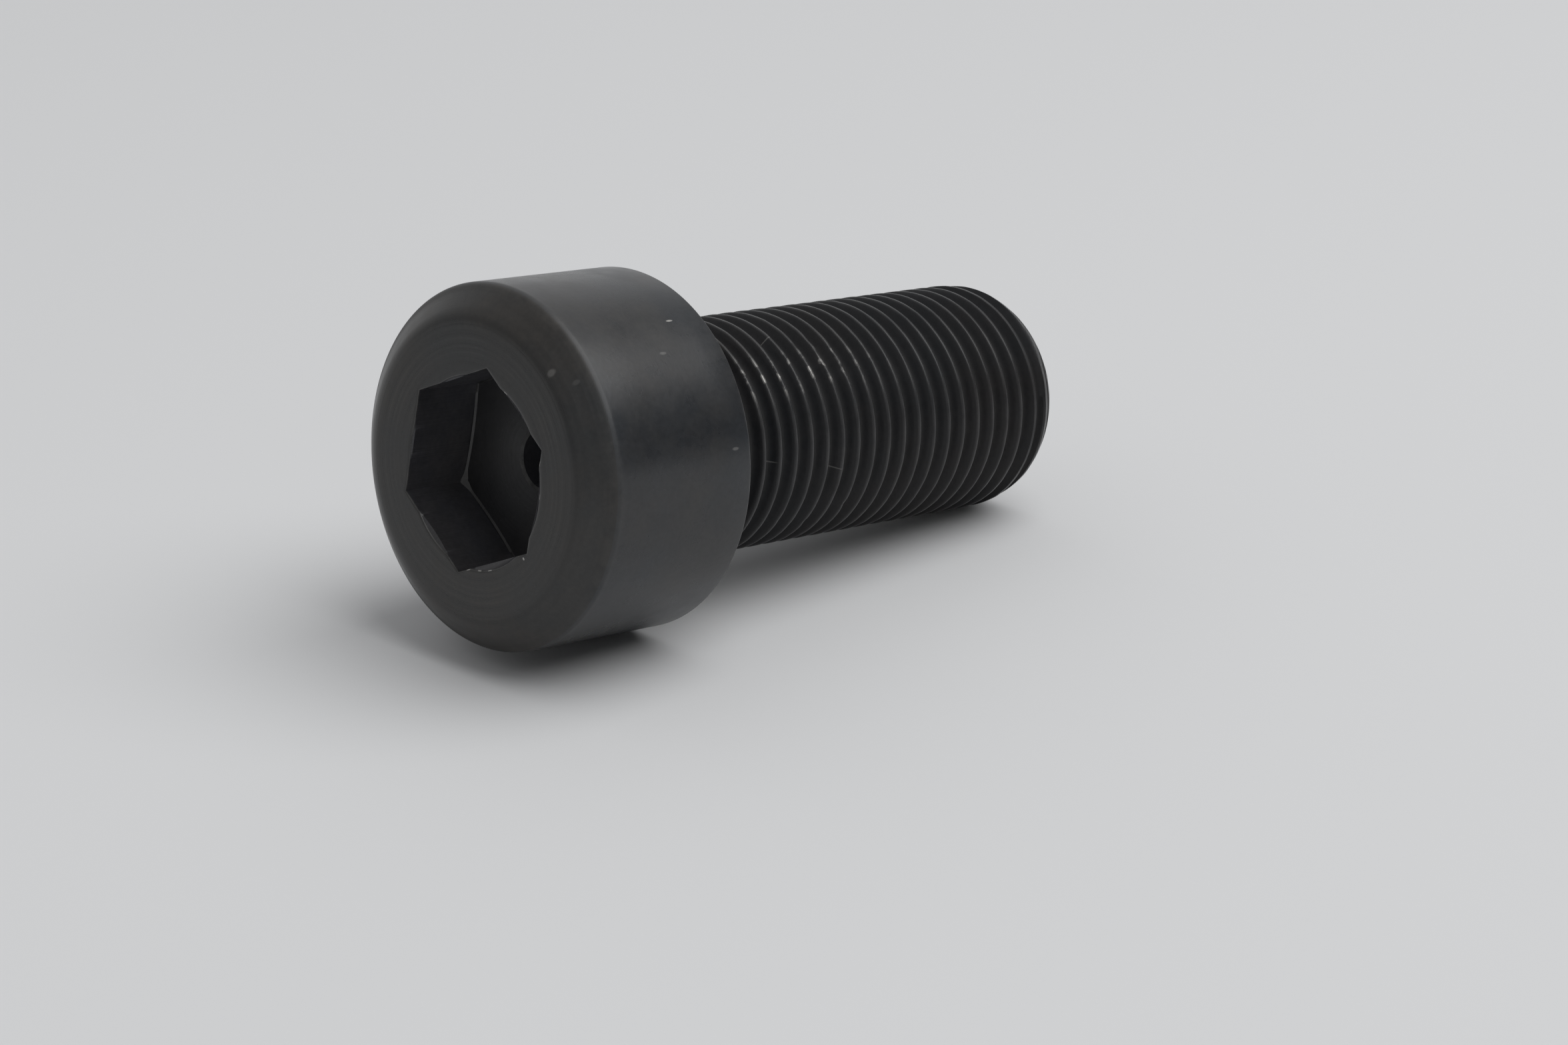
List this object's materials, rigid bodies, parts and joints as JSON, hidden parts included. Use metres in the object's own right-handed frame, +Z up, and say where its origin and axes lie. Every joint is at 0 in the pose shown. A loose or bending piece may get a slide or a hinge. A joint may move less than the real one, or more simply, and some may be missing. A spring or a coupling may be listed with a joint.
{
  "type": "socket head cap screw",
  "caption": "Black steel cap screw lying on its side: round head with a chamfered face and a blind hexagon socket, and a fine-threaded shank with a bevelled tip.",
  "frame": {"origin": "on the surface the screw lies on, under the middle of its bounding box", "axes": "+X runs lengthwise from the head to the tip, with the screw's own axis dipping 6.88 degrees below it because the head is wider than the shank; +Y across the screw; +Z up"},
  "size_m": [0.0504, 0.024, 0.0252],
  "materials": {
    "black_oxide_steel": "alloy steel, black oxide, lightly oiled, satin with a slightly brown turned face"
  },
  "bodies": {
    "root": {"cap_screw": "black_oxide_steel"}
  },
  "joints": []
}
